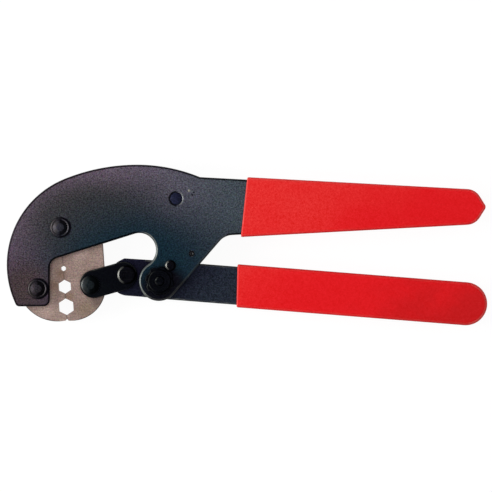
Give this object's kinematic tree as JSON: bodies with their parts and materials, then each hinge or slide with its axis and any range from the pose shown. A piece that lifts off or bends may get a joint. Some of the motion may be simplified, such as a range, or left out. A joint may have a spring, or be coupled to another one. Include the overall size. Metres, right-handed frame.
{
  "type": "hand crimping tool",
  "caption": "Beaked plate-frame hand crimper with split hex die jaws, a toggle link, an eccentric handle pivot and red vinyl grips.",
  "frame": {"origin": "centre of the bounding box, on the face that the tool rests on when it lies on its back", "axes": "+X along the handles from the head to the grip ends, +Y from the lower to the upper grip, +Z out of the front cheek"},
  "size_m": [0.214, 0.0715, 0.0192],
  "materials": {
    "cheek_steel": "black oxide, satin",
    "die_steel": "bare ground steel, matt",
    "rivet_steel": "black oxide, polished by use",
    "spacer_steel": "plain turned steel",
    "grip_vinyl": "dipped vinyl, satin"
  },
  "bodies": {
    "frame": {"front_cheek": "cheek_steel", "rear_cheek": "cheek_steel", "fixed_die": "die_steel", "jaw_pivot_rivet": "rivet_steel", "die_rivet": "rivet_steel", "frame_rivet": "rivet_steel", "tang_rivet_inner": "rivet_steel", "tang_rivet_outer": "rivet_steel", "jaw_spacer_front": "spacer_steel", "jaw_spacer_rear": "spacer_steel", "die_spacer_front": "spacer_steel", "die_spacer_rear": "spacer_steel", "frame_spacer": "spacer_steel", "tang_spacer_inner": "spacer_steel", "tang_spacer_outer": "spacer_steel", "stop_pin": "rivet_steel", "eccentric_pin": "rivet_steel", "adjuster_wheel": "rivet_steel", "lock_screw": "rivet_steel", "pivot_washer_front": "spacer_steel", "pivot_washer_rear": "spacer_steel", "upper_grip": "grip_vinyl"},
    "lower_handle": {"lower_handle_bar": "cheek_steel", "lower_grip": "grip_vinyl", "toggle_pin": "rivet_steel"},
    "jaw": {"moving_jaw": "die_steel"},
    "toggle_link": {"front_link": "cheek_steel", "rear_link": "cheek_steel", "link_pin": "rivet_steel"}
  },
  "joints": [
    {"name": "handle_hinge", "type": "hinge", "parent": "frame", "child": "lower_handle", "pos_m": [-0.0393, -0.01602, 0.0091], "axis": [0, 0, -1], "range_deg": [0, 35]},
    {"name": "jaw_hinge", "type": "hinge", "parent": "frame", "child": "jaw", "pos_m": [-0.0832, 0.00788, 0.0091], "axis": [0, 0, 1], "range_deg": [0, 13]},
    {"name": "link_hinge", "type": "hinge", "parent": "jaw", "child": "toggle_link", "pos_m": [-0.06986, -0.01779, 0.0091], "axis": [0, 0, 1], "range_deg": [0, 2.9]}
  ],
  "couplings": [
    {"joint": "jaw_hinge", "follows": "handle_hinge", "ratio": 0.3707},
    {"joint": "link_hinge", "follows": "handle_hinge", "ratio": 0.0818}
  ]
}
